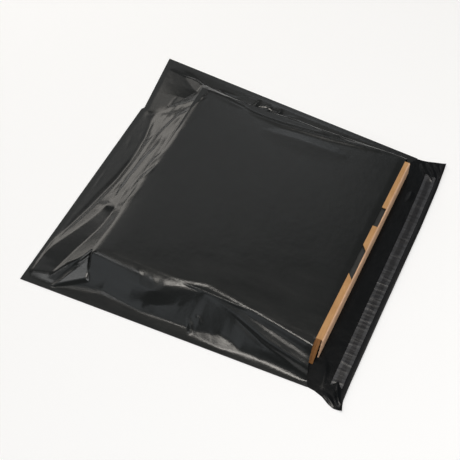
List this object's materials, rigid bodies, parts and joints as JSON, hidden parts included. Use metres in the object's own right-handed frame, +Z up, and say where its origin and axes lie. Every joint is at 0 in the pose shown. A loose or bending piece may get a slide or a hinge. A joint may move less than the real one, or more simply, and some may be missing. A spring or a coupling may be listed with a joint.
{
  "type": "poly mailer bag with carton",
  "caption": "Black film mailing bag, open at one end with its adhesive lip laid flat, holding a flat corrugated carton.",
  "frame": {"origin": "centre of the whole bag's rectangle, on the surface that it lies on", "axes": "+X from the closed end to the lip, +Y across the bag, +Z up from the surface that it lies on"},
  "size_m": [0.455, 0.4304, 0.0285],
  "materials": {
    "film": "glossy black polyethylene film",
    "adhesive": "dull dark hot-melt adhesive",
    "liner": "frosted clear release film over the dark adhesive",
    "corrugated_board": "unbleached brown kraft liner over fine flutes"
  },
  "bodies": {
    "root": {"bag_film": "film", "adhesive_strip": "adhesive", "release_liner": "liner", "carton": "corrugated_board"}
  },
  "joints": []
}
